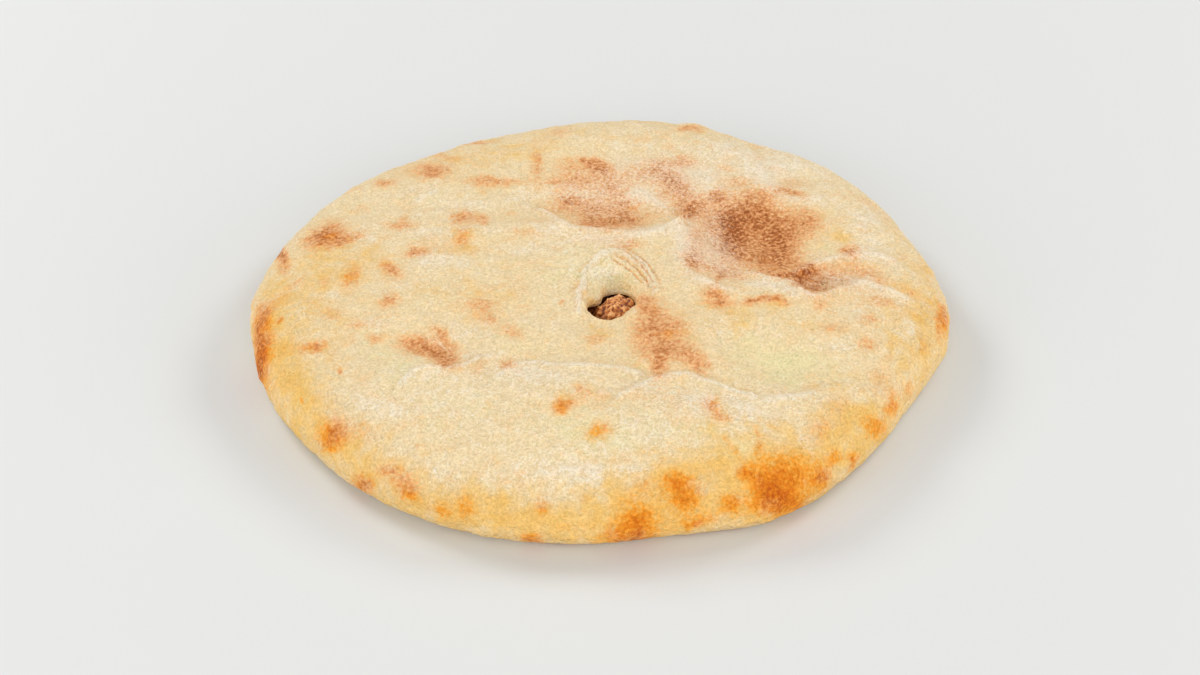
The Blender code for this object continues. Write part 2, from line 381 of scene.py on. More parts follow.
points = points_of(crust)
normals = normals_of(crust)
lift = np.zeros(len(points))
crested = np.zeros(len(points))
for crest, drop, reach, route in FOLDS:
    gap, side = beside(points, route)
    lift += crest * MM * np.exp(-((gap / CREST_WIDTH) ** 2))
    crested = np.maximum(crested, crest * np.exp(-((gap / DUST_WIDTH) ** 2)))
    lift -= drop * MM * (side > 0) * rise(0.0, FALL_WIDTH, gap) * np.exp(-((gap / reach) ** 2))
print("The folds' highest crest is", round(lift.max() / MM, 2), "mm above the solid")

# %% Creases
# Depth in millimetres, half-width in pixels, then the pixels that the crease runs through
CREASES = (
    (0.75, 1.2, ((618, 249), (629, 254), (640, 263), (649, 275), (656, 290))),
    (0.70, 1.1, ((614, 253), (626, 258), (636, 266), (645, 277), (652, 290))),
    (0.60, 1.1, ((612, 258), (623, 263), (633, 271), (641, 281))),
    (0.60, 1.1, ((626, 248), (637, 254), (647, 263), (656, 274), (661, 286))),
    (0.30, 1.5, ((593, 294), (588, 302), (588, 310))),
    (0.50, 1.8, ((592, 258), (580, 270), (573, 290), (577, 310))),
    (0.42, 1.6, ((602, 260), (589, 268), (582, 284), (583, 300))),
    (0.45, 1.8, ((716, 281), (720, 275), (725, 268))),
    (0.55, 3.0, ((725, 436), (731, 446), (738, 455), (747, 463))),
    (0.55, 3.0, ((755, 426), (759, 436), (761, 449))),
    (0.35, 2.0, ((742, 398), (745, 410), (747, 424))),
    (0.35, 2.0, ((728, 336), (726, 343), (723, 351))),
    (0.40, 2.2, ((536, 243), (556, 248), (574, 246))),
    (0.36, 2.2, ((534, 252), (552, 257), (570, 256))),
    (0.38, 2.2, ((536, 262), (552, 267), (566, 267))),
    (0.34, 2.2, ((540, 234), (556, 238), (574, 236))),
    (0.40, 2.0, ((292, 286), (299, 280), (305, 274))),
    (0.30, 2.0, ((268, 300), (282, 292), (296, 284))),
    (0.35, 2.0, ((672, 468), (690, 452), (712, 444))),
    (0.30, 2.0, ((654, 486), (664, 496), (668, 510))),
)
SHALLOW = 0.3  # in millimetres: a crease no deeper than this stays pale, and one of twice this browns
DASH = 3.0 * MM  # a crease browns in dashes of about this length

creased = np.zeros(len(points))
for depth, width, route in CREASES:
    gap = beside(points, route)[0]
    groove = np.exp(-((gap / width) ** 2))
    lift -= depth * MM * groove
    creased = np.maximum(creased, groove * np.clip(depth / SHALLOW - 1.0, 0.0, 1.0))
creased *= rise(-0.8, 0.1, noise_at(points, DASH, 44.0))
print(len(CREASES), "creases, the deepest", max(depth for depth, _, _ in CREASES), "mm")

# %% Hollows and swellings
# Where in pixels, its width and height, how high it swells in millimetres, and its turn in degrees if any
SWELLS = (
    (735, 238, 70, 50, -1.2),
    (712, 256, 40, 30, -0.5),
    (678, 244, 20, 50, 0.8),
    (814, 282, 30, 22, -0.8),
    (785, 272, 40, 8, -0.6, -5),
    (600, 214, 60, 22, -0.7),
    (640, 212, 50, 20, -0.6),
    (672, 182, 40, 20, -0.5, -20),
    (600, 180, 60, 16, -0.5),
    (790, 188, 34, 14, -0.8, -10),
    (661, 354, 22, 34, -1.0),
    (692, 358, 40, 18, -0.6, -30),
    (416, 346, 44, 16, -0.8, -5),
    (450, 358, 26, 16, -0.7, -20),
    (770, 360, 110, 40, -0.6),
    (600, 400, 60, 14, -0.4),
    (600, 432, 110, 26, -0.4),
    (735, 455, 30, 26, -0.5),
    (690, 408, 60, 24, 0.6),
    (540, 385, 70, 26, 0.5),
    (560, 330, 70, 30, 0.4),
    (720, 318, 50, 20, 0.4),
    (440, 300, 50, 26, 0.4),
    (370, 300, 40, 30, 0.4),
    (300, 320, 34, 30, 0.6),
    (345, 350, 50, 30, -0.5),
    (610, 276, 46, 30, -0.7),
    (400, 205, 60, 20, -0.4),
    (350, 230, 40, 24, 0.5),
    (500, 190, 60, 14, -0.4),
    (520, 160, 50, 20, 0.4),
    (870, 330, 60, 26, 0.5),
    (830, 420, 40, 30, 0.5),
    (880, 400, 30, 30, 0.4),
    (800, 455, 40, 30, 0.5),
    (600, 490, 60, 30, 0.5),
    (480, 480, 60, 30, 0.5),
    (400, 450, 50, 30, 0.4),
)
for x, y, width, height, swell, *turn in SWELLS:
    lift += swell * MM * spot(points, seen_at(x, y), width, height, *turn)
print(len(SWELLS), "hollows and swellings, the deepest", min(row[4] for row in SWELLS), "mm")

# %% Bumps
# How far across, how high, and where in the noise. The hollow's lining and the flat base keep their shape.
BUMPS = ((16.0 * MM, 0.45 * MM, 3.0), (6.0 * MM, 0.30 * MM, 29.0), (2.8 * MM, 0.16 * MM, 11.0))
LINING = 3.0 * MM  # the skin that is this near to the filling
BASE_ENDS = 0.2 * MM
FOOT_ENDS = 2.0 * MM

for size, height, seed in BUMPS:
    lift += height * noise_at(points, size, seed)
lining = np.array([filling_surface.find_nearest(Vector(p))[3] < LINING for p in points])
lift[lining] = 0.0
lift *= rise(BASE_ENDS, FOOT_ENDS, points[:, 2])
crust_points = points + normals * lift[:, None]
print(round(lining.mean() * 100), "% of the skin's points line the hollow")

# %% The vent's lip
# Where in pixels, how far it reaches, and how far it is pushed to the right, back and up, in millimetres
PUSHES = (
    (589, 311, 4.0, -0.6, -1.0, -0.3),
    (590, 292, 4.6, 3.4, -2.4, -2.0),
    (617, 284, 5.0, 0.0, 0.4, -1.8),
    (604, 290, 4.0, 0.2, -0.4, -1.0),
    (632, 309, 4.0, 0.4, 1.0, 0.5),
)
for x, y, reach, *push in PUSHES:
    away = np.linalg.norm(points - np.array(seen_at(x, y)), axis=1) / (reach * MM)
    crust_points += np.exp(-away * away)[:, None] * np.array(push) * MM

move_points(crust, crust_points)
crust.data.shade_smooth()
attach(crust, "root")
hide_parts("crust")
lip_moved = np.linalg.norm(crust_points - points, axis=1).max()
print("The skin moved by", round(np.abs(lift).max() / MM, 2), "mm, the lip by", round(lip_moved / MM, 2))

# %% [markdown]
# ## Where the oven and the flour left their marks
#
# Bread browns first where it stands nearest to the heat or is blistered and thin, so its colour lies in
# patches with a freckled edge. Each patch is a soft spot of its real size on the skin, and they add up to
# values that the material below turns into colour. Noise shifts the points first, so no spot stays a neat
# oval. A patch is: x and y of its middle in pixels, width, height, strength, and its turn in degrees if it
# has one.

# %% Browned patches
BROWNED = (
    # The scorched hollow on the right, and the one beside it
    (731, 231, 24, 42, 0.92),
    (736, 242, 20, 26, 0.60),
    (750, 214, 40, 34, 0.70),
    (772, 228, 50, 44, 0.66),
    (780, 248, 34, 34, 0.60, -30),
    (786, 262, 20, 12, 0.36),
    (762, 258, 36, 22, 0.50),
    (758, 196, 30, 12, 0.36),
    (808, 222, 34, 28, 0.42),
    (720, 250, 56, 40, 0.30),
    (710, 268, 34, 14, 0.30, -10),
    (716, 222, 36, 30, 0.38, -30),
    (690, 210, 24, 18, 0.70),
    (692, 258, 18, 24, 0.60),
    (695, 236, 24, 20, 0.30),
    (732, 275, 26, 14, 0.30),
    (720, 275, 18, 4, 0.55, 55),
    (782, 275, 36, 9, 0.62, -8),
    (806, 271, 24, 12, 0.85, 15),
    (800, 280, 12, 14, 0.50),
    (816, 285, 34, 20, 0.55),
    (840, 270, 50, 22, 0.28),
    (845, 282, 36, 14, 0.22, -15),
    (872, 274, 40, 16, 0.28, -20),
    (878, 281, 16, 6, 0.20, -20),
    # Behind the vent
    (602, 224, 48, 12, 0.52, -3),
    (626, 218, 32, 18, 0.48, -15),
    (594, 210, 40, 26, 0.45),
    (628, 204, 34, 12, 0.34, 15),
    (570, 199, 26, 12, 0.56, -10),
    (560, 208, 44, 20, 0.30),
    (652, 214, 40, 22, 0.22),
    (614, 190, 32, 24, 0.42),
    (583, 178, 60, 26, 0.36),
    (560, 183, 44, 12, 0.25),
    (585, 163, 12, 8, 0.60),
    (598, 166, 22, 12, 0.60, -30),
    (606, 168, 10, 16, 0.22),
    (566, 164, 24, 14, 0.26),
    (640, 174, 40, 24, 0.30),
    (655, 165, 26, 16, 0.32),
    (672, 180, 36, 22, 0.60, -25),
    (684, 194, 24, 16, 0.38, -40),
    (664, 195, 20, 16, 0.35, -30),
    (685, 162, 30, 14, 0.48),
    (700, 200, 40, 20, 0.24, 20),
    (718, 196, 16, 16, 0.45),
    (668, 147, 16, 8, 0.25),
    (500, 182, 50, 7, 0.38),
    (537, 162, 12, 30, 0.42),
    (628, 245, 26, 10, 0.36),
    (640, 266, 44, 14, 0.16, -52),
    (600, 240, 60, 14, 0.16),
    (690, 129, 30, 8, 0.46),
    (558, 133, 24, 16, 0.30),
    # Right of the vent
    (712, 294, 23, 18, 0.38),
    (720, 302, 21, 16, 0.48),
    (755, 300, 25, 8, 0.48, 5),
    (776, 301, 23, 7, 0.55, -3),
    (765, 302, 50, 10, 0.20),
    (820, 303, 16, 14, 0.30),
    (885, 301, 30, 12, 0.32, -10),
    (862, 300, 40, 20, 0.16),
    (911, 293, 30, 10, 0.28, -35),
    (850, 251, 21, 13, 0.54),
    (790, 192, 32, 8, 0.50, -12),
    (792, 183, 34, 14, 0.24),
    (726, 167, 21, 9, 0.34),
    (738, 182, 28, 12, 0.30),
    (870, 320, 23, 12, 0.34),
    (832, 328, 30, 16, 0.34),
    (868, 343, 23, 16, 0.38),
    (905, 315, 30, 10, 0.20),
    (758, 158, 16, 9, 0.26),
    (868, 203, 30, 10, 0.24, -30),
    (898, 226, 30, 30, 0.08, -45),
    (925, 268, 30, 30, 0.16),
    # The right rim
    (930, 325, 40, 90, 0.08),
    (943, 318, 14, 32, 0.56, 10),
    (940, 332, 8, 30, 0.26),
    (923, 345, 14, 30, 0.26, 10),
    (880, 379, 28, 21, 0.28, -35),
    (909, 391, 16, 23, 0.36),
    (892, 405, 16, 25, 0.50),
    (876, 428, 25, 28, 0.50, 35),
    (866, 420, 21, 18, 0.20),
    (822, 430, 30, 26, 0.28),
    (838, 406, 28, 23, 0.26),
    (834, 458, 16, 18, 0.48),
    (853, 460, 14, 18, 0.56),
    (821, 479, 21, 25, 0.56),
    # The front rim
    (772, 492, 40, 44, 0.80, 10),
    (785, 480, 56, 50, 0.44),
    (730, 512, 120, 20, 0.16, 8),
    (790, 505, 30, 18, 0.55),
    (800, 470, 40, 40, 0.24),
    (747, 474, 21, 16, 0.55, -30),
    (759, 446, 9, 25, 0.34),
    (735, 449, 34, 5, 0.28, -51),
    (730, 502, 21, 18, 0.50),
    (683, 490, 42, 42, 0.46),
    (676, 482, 18, 21, 0.42),
    (686, 502, 23, 16, 0.42),
    (632, 525, 44, 36, 0.58),
    (628, 538, 60, 18, 0.50),
    (643, 518, 21, 16, 0.34),
    (643, 483, 25, 16, 0.26),
    (632, 500, 44, 24, 0.22),
    (697, 523, 30, 13, 0.48, 10),
    (540, 508, 18, 26, 0.40, -10),
    (583, 499, 14, 12, 0.26),
    (564, 527, 25, 14, 0.26),
    (532, 540, 25, 14, 0.55),
    (508, 517, 23, 18, 0.20),
    (441, 510, 24, 20, 0.42),
    (467, 508, 24, 32, 0.44),
    # In front of the vent
    (711, 404, 20, 16, 0.46, -30),
    (721, 417, 18, 12, 0.42, -20),
    (661, 356, 20, 32, 0.48),
    (657, 370, 12, 18, 0.40, 10),
    (664, 330, 40, 34, 0.36),
    (650, 310, 28, 30, 0.40),
    (643, 303, 18, 16, 0.24),
    (642, 334, 25, 30, 0.30),
    (668, 342, 60, 50, 0.14),
    (686, 354, 34, 20, 0.36, -25),
    (701, 366, 25, 18, 0.32, -35),
    (682, 326, 30, 21, 0.14),
    (640, 352, 21, 14, 0.16),
    (596, 338, 23, 14, 0.36),
    (508, 364, 16, 13, 0.44),
    (582, 391, 18, 9, 0.34, -20),
    (604, 397, 18, 12, 0.28),
    (567, 404, 30, 16, 0.40, 10),
    (562, 406, 16, 11, 0.36),
    (602, 429, 28, 16, 0.46, 15),
    (480, 366, 18, 18, 0.24),
    # The slot on the left
    (418, 344, 40, 18, 0.42, -8),
    (408, 346, 23, 18, 0.14),
    (446, 358, 32, 16, 0.52, -30),
    (432, 352, 30, 14, 0.45, -30),
    (444, 337, 34, 10, 0.44, -40),
    # The left rim
    (375, 338, 16, 10, 0.48),
    (357, 325, 14, 12, 0.34),
    (314, 347, 30, 13, 0.52, 5),
    (332, 434, 36, 34, 0.56, 45),
    (336, 430, 16, 16, 0.20),
    (327, 444, 16, 12, 0.30),
    (364, 431, 32, 23, 0.22),
    (420, 447, 14, 9, 0.28),
    (390, 471, 28, 18, 0.40),
    (408, 490, 28, 28, 0.56),
    (362, 487, 24, 26, 0.60, 40),
    (262, 350, 20, 70, 0.28, 5),
    (268, 318, 26, 50, 0.12, 20),
    (259, 362, 14, 30, 0.78, -10),
    (262, 346, 16, 23, 0.28, -10),
    (257, 374, 14, 30, 0.60),
    (280, 348, 44, 24, 0.16),
    (280, 388, 50, 60, 0.16),
    (258, 333, 14, 32, 0.50, 15),
    (265, 318, 16, 25, 0.48, 20),
    (282, 300, 30, 16, 0.26, 40),
    (281, 254, 10, 23, 0.72, 35),
    (283, 268, 18, 16, 0.30),
    (298, 281, 23, 5, 0.40, 38),
    (330, 314, 30, 16, 0.30),
    # Back left
    (318, 237, 30, 18, 0.52, 20),
    (333, 240, 38, 16, 0.60, 5),
    (333, 228, 28, 18, 0.34),
    (354, 237, 21, 9, 0.30, 25),
    (351, 277, 20, 26, 0.50, -15),
    (324, 281, 16, 14, 0.30),
    (390, 270, 30, 14, 0.52, -35),
    (389, 301, 20, 18, 0.48),
    (402, 225, 32, 13, 0.46),
    (418, 252, 28, 13, 0.50),
    (462, 217, 28, 13, 0.50),
    (484, 219, 16, 9, 0.36),
    (462, 238, 24, 22, 0.44),
    (480, 181, 30, 14, 0.26),
    (385, 184, 21, 10, 0.46),
    (429, 170, 52, 18, 0.42),
    (434, 173, 22, 12, 0.26),
    (448, 157, 40, 8, 0.30, -10),
    (480, 143, 30, 5, 0.46, 3),
    (484, 315, 30, 26, 0.30),
    (491, 320, 10, 10, 0.30),
    (478, 303, 28, 12, 0.30),
    (513, 333, 25, 16, 0.34, -20),
    (525, 232, 36, 14, 0.24, -5),
    (510, 213, 18, 9, 0.24),
    (530, 263, 23, 14, 0.16),
    (520, 290, 28, 18, 0.18),
    # Burnt specks of flour
    (280, 320, 4, 4, 0.80),
    (340, 372, 4, 4, 0.80),
    (302, 400, 4, 4, 0.60),
    (562, 303, 4, 4, 0.60),
)
print(len(BROWNED), "browned patches")

# %% Patches where flour lies, and one of painted light
FLOUR_AND_PAINTED_LIGHT = (
    (683, 242, 26, 60, 0.58),
    (655, 229, 60, 12, 0.62),
    (600, 236, 80, 10, 0.55),
    (560, 228, 50, 16, 0.47),
    (650, 199, 50, 14, 0.66, -30),
    (710, 284, 50, 10, 0.62, -20),
    (770, 284, 70, 14, 0.66, -8),
    (800, 292, 50, 8, 0.55, -10),
    (835, 256, 60, 10, 0.47, 5),
    (875, 258, 40, 14, 0.47, -20),
    (880, 290, 80, 12, 0.55, -20),
    (700, 170, 60, 20, 0.30),
    (767, 180, 40, 14, 0.55, -50),
    (810, 201, 80, 12, 0.47),
    (720, 150, 60, 24, 0.40),
    (600, 196, 110, 50, 0.62),
    (720, 255, 60, 40, 0.50),
    (735, 210, 40, 30, 0.20),
    (830, 278, 90, 26, 0.45),
    (640, 165, 100, 50, 0.40),
    (700, 398, 90, 24, 0.47, -8),
    (740, 410, 90, 26, 0.50, -8),
    (790, 395, 70, 10, 0.47),
    (520, 370, 50, 14, 0.50),
    (540, 375, 120, 24, 0.45),
    (640, 385, 60, 14, 0.50, 10),
    (380, 408, 60, 24, 0.50),
    (425, 372, 60, 14, 0.50),
    (480, 355, 60, 12, 0.45),
    (440, 344, 26, 6, 0.55, -40),
    (560, 470, 120, 30, 0.45),
    (640, 468, 50, 10, 0.47),
    (590, 475, 40, 16, 0.40),
    (440, 470, 30, 14, 0.40),
    (800, 440, 30, 12, 0.45, -45),
    (815, 455, 40, 10, 0.40, -50),
    (370, 240, 60, 24, 0.30),
    (430, 262, 60, 14, 0.45),
    (380, 322, 40, 14, 0.45),
    (430, 232, 60, 10, 0.40),
    (470, 205, 60, 12, 0.35),
    (420, 190, 50, 16, 0.30),
    (540, 195, 70, 10, 0.50),
    (870, 215, 40, 20, 0.40),
    (860, 310, 60, 20, 0.35),
    (840, 345, 50, 14, 0.30),
    (720, 330, 60, 20, 0.30),
    (550, 245, 60, 20, 0.30),
    (610, 241, 60, 14, 0.50),
    (638, 236, 40, 10, 0.50),
    (640, 430, 160, 60, 0.26),
    (460, 400, 120, 60, 0.26),
    (716, 222, 36, 30, 0.40, -30),
    (732, 272, 30, 12, 0.40),
    (636, 200, 44, 14, 0.40, 10),
    (672, 176, 70, 40, 0.32, -20),
    (657, 374, 20, 14, 0.25),
    (704, 368, 24, 14, 0.25, -30),
    # Not flour: painted light on the vent's funnel wall, which lies in shade
    (602, 272, 50, 26, 0.70),
    (775, 165, 60, 30, 0.45),
    (706, 246, 60, 60, 0.50),
    (712, 250, 36, 34, 0.32),
    (440, 258, 60, 12, 0.40, -8),
    (400, 286, 50, 14, 0.35, 10),
    (318, 300, 40, 12, 0.40, 30),
    (520, 250, 60, 14, 0.30),
    (470, 330, 60, 16, 0.30),
    (905, 330, 30, 26, 0.35),
    (700, 185, 90, 60, 0.45),
    (868, 238, 50, 40, 0.40, -35),
    (780, 172, 120, 50, 0.40),
    (430, 215, 150, 60, 0.22),
    (845, 285, 60, 20, 0.35),
)
print(len(FLOUR_AND_PAINTED_LIGHT), "floured patches")

# %% Pale patches, where the dough is thick and stayed cool
PALE = (
    (606, 276, 60, 40, 0.70),
    (790, 365, 90, 50, 0.75),
    (745, 350, 70, 50, 0.40),
    (600, 430, 130, 50, 0.60),
    (520, 340, 60, 30, 0.40),
    (560, 270, 60, 50, 0.40),
    (400, 372, 60, 30, 0.50),
    (385, 350, 50, 40, 0.35),
    (430, 200, 50, 20, 0.35),
    (830, 250, 40, 20, 0.40),
    (460, 410, 120, 50, 0.30),
    (700, 430, 70, 20, 0.30),
    (741, 446, 34, 28, 0.60),
)
print(len(PALE), "pale patches")

# %% Golden patches, mostly on the rim
GILDED = (
    (275, 350, 60, 120, 0.55),
    (780, 480, 120, 100, 0.85),
    (660, 518, 150, 50, 0.74),
    (930, 320, 60, 120, 0.46),
    (870, 430, 70, 70, 0.60),
    (305, 415, 60, 90, 0.75, -20),
    (290, 380, 50, 60, 0.55),
    (300, 300, 100, 90, 0.36),
    (345, 260, 90, 70, 0.40),
    (700, 475, 110, 56, 0.65),
    (716, 452, 70, 40, 0.28),
    (630, 500, 100, 56, 0.60),
    (520, 522, 150, 50, 0.75),
    (590, 538, 120, 20, 0.40),
    (440, 505, 130, 56, 0.58),
    (365, 465, 100, 66, 0.54, -30),
    (850, 440, 100, 100, 0.36),
    (910, 350, 70, 90, 0.34),
    (925, 265, 40, 90, 0.18),
    (880, 225, 60, 40, 0.14, -30),
    (590, 135, 160, 30, 0.22),
    (520, 150, 70, 30, 0.40),
    (470, 160, 60, 30, 0.30),
    (838, 236, 24, 24, 0.45),
    (480, 250, 50, 40, 0.25),
    (333, 434, 60, 50, 0.30),
    (430, 500, 140, 40, 0.10),
    (440, 290, 60, 40, 0.30),
    (500, 290, 60, 40, 0.30),
    (730, 325, 90, 40, 0.35),
    (760, 310, 120, 24, 0.30),
    (660, 350, 90, 70, 0.10),
    (595, 335, 50, 24, 0.25),
    (830, 390, 60, 60, 0.12),
    (462, 238, 34, 30, 0.35),
    (566, 404, 40, 26, 0.45),
    (602, 429, 40, 26, 0.60),
    (716, 410, 40, 34, 0.35),
)
print(len(GILDED), "golden patches")

# %% Helpers for the patches
HALO_WIDER = 1.7  # a patch's wide soft edge, over the patch itself
WOBBLE = 1.2 * MM
WOBBLE_SIZE = 5.0 * MM

points = points_of(crust)
normals = normals_of(crust)
wobbled = points + WOBBLE * np.stack(
    [noise_at(points, WOBBLE_SIZE, seed) for seed in (21.0, 47.0, 83.0)], axis=1
)
towards_camera = rise(-0.35, 0.05, normals @ -np.array(LOOK))  # 0 where the photograph can't show it


def patched(patches, halo=0.0):
    """The patches' sum at each point, as if each next one covered only what is still bare."""
    bare = np.ones(len(points))
    for x, y, width, height, strength, *turn in patches:
        place = seen_at(x, y)
        soft = (1.0 - halo) * spot(wobbled, place, width, height, *turn)
        if halo:
            soft += halo * spot(wobbled, place, HALO_WIDER * width, HALO_WIDER * height, *turn)
        bare *= 1.0 - strength * soft * towards_camera
    return 1.0 - bare


# %% Add up the patches
HALO = 0.2  # how much of a browned patch is its wide soft edge
CREASE_BROWNS = 0.40  # the thin dough along a crease dries and browns a little
CREST_FLOUR = 0.50  # flour stays on the folds, which the oven's heat reaches last
CLOUD_BROWNS = 0.18  # faint clouds of tan all over the skin that isn't raw
CLOUD_SIZE = 9.0 * MM
MOTTLE = 7.0 * MM  # size of the lumps in which the pale and the golden skin vary
PALE_VARIES = 0.26
GILDED_VARIES = 0.32

clouds = CLOUD_BROWNS * rise(0.0, 0.6, noise_at(points, CLOUD_SIZE, 71.0))
browned = np.maximum(patched(BROWNED, HALO), CREASE_BROWNS * creased)
flour_and_painted_light = np.maximum(patched(FLOUR_AND_PAINTED_LIGHT), CREST_FLOUR * rise(0.3, 1.0, crested))
pale = patched(PALE)
browned = np.maximum(browned, clouds * (1.0 - pale))
pale += PALE_VARIES * noise_at(points, MOTTLE, 90.0)
gilded = patched(GILDED) + GILDED_VARIES * noise_at(points, MOTTLE, 19.0)
print("The strongest browning is", round(float(browned.max()), 2))

# %% The rim, the back and the underside
# What the photograph doesn't show browns by the same rule: more on the side and in scattered patches
SCATTER_SIZE = 17.0 * MM
SCATTER_BROWNS = 0.8  # at most, on the back
SIDE_GILDED = 0.40
BACK_GILDED = 0.20  # more than the side in front
SIDE_VARIES = 0.20
UNDER_GILDED = 0.45

side = 1.0 - rise(0.25, 0.85, np.abs(normals[:, 2]))
under = rise(0.8, 0.97, -normals[:, 2])
unseen = 1.0 - towards_camera
scatter = rise(0.05, 0.95, noise_at(points, SCATTER_SIZE, 5.0)) * SCATTER_BROWNS
browned = np.maximum(browned, scatter * unseen * (1.0 - under))
golden = SIDE_GILDED + BACK_GILDED * unseen + SIDE_VARIES * noise_at(points, MOTTLE, 3.0)
gilded = np.maximum(gilded, side * golden)
gilded = np.maximum(gilded, UNDER_GILDED * under)

# %% Keep the values on the skin
SMOOTHINGS = 5  # rounds that smooth out the fine crumb, to find its gaps and crests
FULL_DEPTH = 0.12 * MM  # a gap or crest of this much counts in full

deep = np.clip(deepness(crust, SMOOTHINGS) / FULL_DEPTH, -1.0, 1.0)
mark(crust, "deep", np.where(deep < 0.0, deep * (1.0 - browned), deep))
layers = {"browned": browned, "flour_and_painted_light": flour_and_painted_light, "pale": pale, "gilded": gilded, "under": under}
for name, values in layers.items():
    mark(crust, name, values)
    print(name, "covers", round(float((values > 0.3).mean()) * 100), "% of the skin's points")

# %% [markdown]
# ## Colours and material helpers
#
# Colours are written as they look on a screen, and one function turns them to the linear values that a
# shader needs. One more function adds any node, with its settings and its links.

# %% Material helpers
def linear(colour):
    """A hex colour as seen on a screen, as linear red, green, blue and alpha."""
    channels = [int(colour[i : i + 2], 16) / 255 for i in (1, 3, 5)]
    return (*[c / 12.92 if c <= 0.04045 else ((c + 0.055) / 1.055) ** 2.4 for c in channels], 1.0)


def add(tree, kind, inputs=None, stops=None, output=0, **settings):
    """Adds a node with its settings, ramp stops and inputs, and returns the output that others read."""
    node = tree.nodes.new("ShaderNode" + kind)
    for key, value in settings.items():
        setattr(node, key, value)
    for i, (place, colour) in enumerate(stops or ()):
        ramp = node.color_ramp.elements
        stop = ramp[i] if i < 2 else ramp.new(place)
        stop.position = place
        stop.color = linear(colour)
    for key, value in (inputs or {}).items():
        if isinstance(value, bpy.types.NodeSocket):
            tree.links.new(value, node.inputs[key])
        else:
            node.inputs[key].default_value = value
    return node.outputs[output]


def new_material(name):
    material = bpy.data.materials.new(name)
    material.use_nodes = True
    tree = material.node_tree
    return material, tree, tree.nodes["Principled BSDF"]


# %% [markdown]
# ## Baked dough
#
# Wheat dough that was baked dry: matte, with a little light passing into it, so it has a rough surface and
# a touch of subsurface scattering. Its colour is cream where the skin is thick and stayed cool, yellow-gold
# on the rim, and orange to brown in the patches, each freckled by single bubbles of about a millimetre.
# Flour lies over it as a fine pale powder that thins out in grains; its layer also paints light in the
# vent.

# %% Speckles of the dough
# The size of each speckle's lumps and its detail. Real pores start at 0.3 mm, too fine to show from here.
# A Noise Texture stays mostly between 0.3 and 0.7, which Map Range spreads from -1 to 1.
SPECKLES = {
    "lumps": (2.4 * MM, 2.0),
    "bubbles": (1.2 * MM, 2.0),
    "grain": (1.0 * MM, 2.0),
    "powder": (0.6 * MM, 1.0),
}

material, tree, shader = new_material("baked_wheat_dough")
place = add(tree, "TexCoord", output="Object")
read = {
    name: add(tree, "Attribute", output="Fac", attribute_name=name)
    for name in ("browned", "flour_and_painted_light", "pale", "gilded", "under", "deep")
}
for shift, (name, (size, detail)) in enumerate(SPECKLES.items()):
    moved = add(tree, "Mapping", {"Vector": place, "Location": (shift, shift, shift)})
    field = add(tree, "TexNoise", {"Vector": moved, "Scale": 1.0 / size, "Detail": detail})
    read[name] = add(tree, "MapRange", {0: field, 1: 0.3, 2: 0.7, 3: -1.0, 4: 1.0}, clamp=False)
print("The dough has", len(SPECKLES), "sizes of speckle")

# %% Marks of the oven floor
# The flat underside has few points, so its brown blotches, and the flour between them, are drawn here.
# For each: where in the noise it starts and is full, and how strong it is there
BLOTCH = 20.0 * MM
FLOOR_MARKS = (("browned", 0.46, 0.68, 0.66), ("flour_and_painted_light", 0.54, 0.34, 0.55))

blotches = add(tree, "TexNoise", {"Vector": place, "Scale": 1 / BLOTCH, "Detail": 3.0})
for name, start, full, most in FLOOR_MARKS:
    marks = add(tree, "MapRange", {0: blotches, 1: start, 2: full, 4: most})
    marks = add(tree, "Math", {0: marks, 1: read["under"]}, operation="MULTIPLY")
    read[name] = add(tree, "Math", {0: marks, 1: read[name]}, operation="MAXIMUM")

# %% How browned each grain is
# Freckles grow with the browning, so clean dough has none, and they run together where fat has fried it
DRY_FRECKLES = 0.46
FRIED_FRECKLES = 0.28
LUMPS_SHARE = 0.3  # of the larger lumps in the freckles, beside the bubbles

read["crest"] = add(tree, "MapRange", {0: read["deep"], 1: -0.15, 2: -1.0})
read["fat"] = add(tree, "MapRange", {0: read["gilded"], 1: 0.2, 2: 0.65})
dotted = add(tree, "Math", {0: read["lumps"], 1: LUMPS_SHARE, 2: read["bubbles"]}, operation="MULTIPLY_ADD")
sparse = add(tree, "MapRange", {0: read["fat"], 3: DRY_FRECKLES, 4: FRIED_FRECKLES})
freckles = add(tree, "Math", {0: dotted, 1: sparse}, operation="MULTIPLY")
grown = {0: freckles, 1: read["browned"], 2: read["browned"]}
read["freckled"] = add(tree, "Math", grown, operation="MULTIPLY_ADD")

# %% Colours of browned dough
# Dough that toasted dry goes from cream to dark brown, and dough that fried in fat, as on the rim, is more
# orange. Each colour stands where the browning is as strong as its number.
TOAST = (
    (0.0, "#FFE2A8"),
    (1.0, "#A45A28"),
    (0.22, "#FED094"),
    (0.42, "#F6B67C"),
    (0.62, "#E0985D"),
    (0.82, "#C3763C"),
)
FRIED = (
    (0.0, "#FFD97B"),
    (1.0, "#CC6006"),
    (0.22, "#FFC55B"),
    (0.42, "#FFAE3E"),
    (0.62, "#F4921C"),
    (0.82, "#E2780C"),
)
toast = add(tree, "ValToRGB", {0: read["freckled"]}, TOAST)
fried = add(tree, "ValToRGB", {0: read["freckled"]}, FRIED)
crusty = add(tree, "Mix", {0: read["fat"], 6: toast, 7: fried}, output=2, data_type="RGBA")

# %% Layers of colour
CREAM = "#FCE3B5"
GOLD = "#FCCB70"
RAW = "#F3E5AF"
TOASTED = "#F7C88C"
PIT = "#DED9CE"
FLOUR = "#FFF3DE"
DUST_ON_BROWN = "#F8D4B4"

dusts = {0: read["browned"], 6: linear(FLOUR), 7: linear(DUST_ON_BROWN)}
flour = add(tree, "Mix", dusts, output=2, data_type="RGBA")
powdered = {"powder": 0.30, "grain": 0.16, "crest": 0.30, "fat": -0.4, "freckled": -0.35}
pitted = {"powder": 0.6, "lumps": 0.4, "pale": 0.4}
